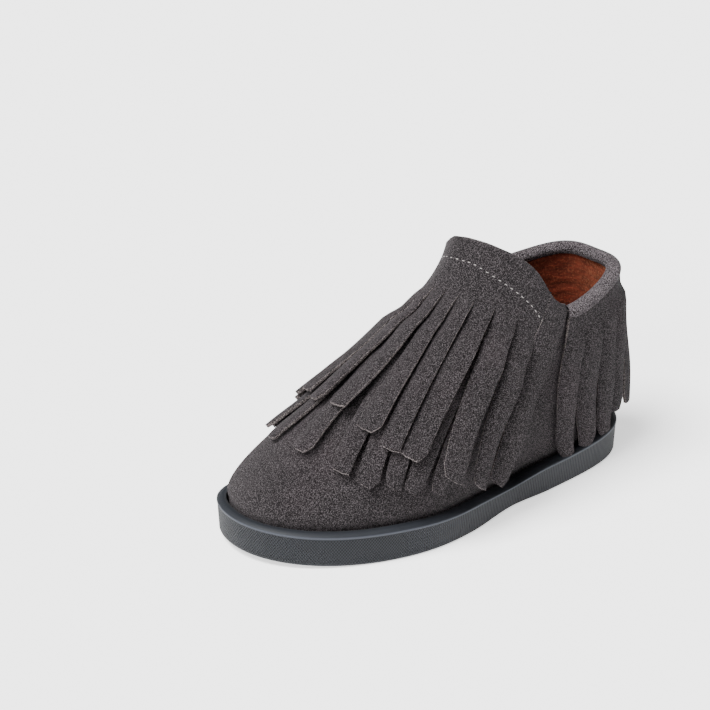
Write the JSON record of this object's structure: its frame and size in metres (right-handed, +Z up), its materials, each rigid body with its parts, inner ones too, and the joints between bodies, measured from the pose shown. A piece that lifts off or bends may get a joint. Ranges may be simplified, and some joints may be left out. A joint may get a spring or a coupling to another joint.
{
  "type": "fringe ankle boot",
  "caption": "Child's left ankle boot in suede: cut fringe in tiers over the front and round the heel, rust lining, rubber cup sole and a zip on the inner side.",
  "frame": {"origin": "on the floor under the middle of the heel's tread, on the middle land of the tread", "axes": "+X to the toe, +Y to the outer side of the foot, +Z up"},
  "size_m": [0.1929, 0.0832, 0.109],
  "materials": {
    "sole_rubber": "matt moulded rubber with a fine textured side",
    "lining": "short-pile rust lining",
    "suede": "brushed grey-brown suede",
    "zip_tape": "woven black tape",
    "zip_teeth": "coiled plastic teeth",
    "zip_metal": "dark coated cast metal"
  },
  "bodies": {
    "boot": {"outsole": "sole_rubber", "insole": "lining", "upper": "suede", "collar_roll": "suede", "fringe_front_upper": "suede", "fringe_front_lower": "suede", "fringe_heel": "suede", "zip_tape": "zip_tape", "zip_chain": "zip_teeth", "zip_slider": "zip_metal"},
    "pull_tab": {"zip_pull": "zip_metal"}
  },
  "joints": [
    {"name": "pull_tab_hinge", "type": "hinge", "parent": "boot", "child": "pull_tab", "pos_m": [0.01986, -0.03425, 0.07349], "axis": [-0.9362, 0.0813, -0.3419], "range_deg": [0, 150]}
  ]
}
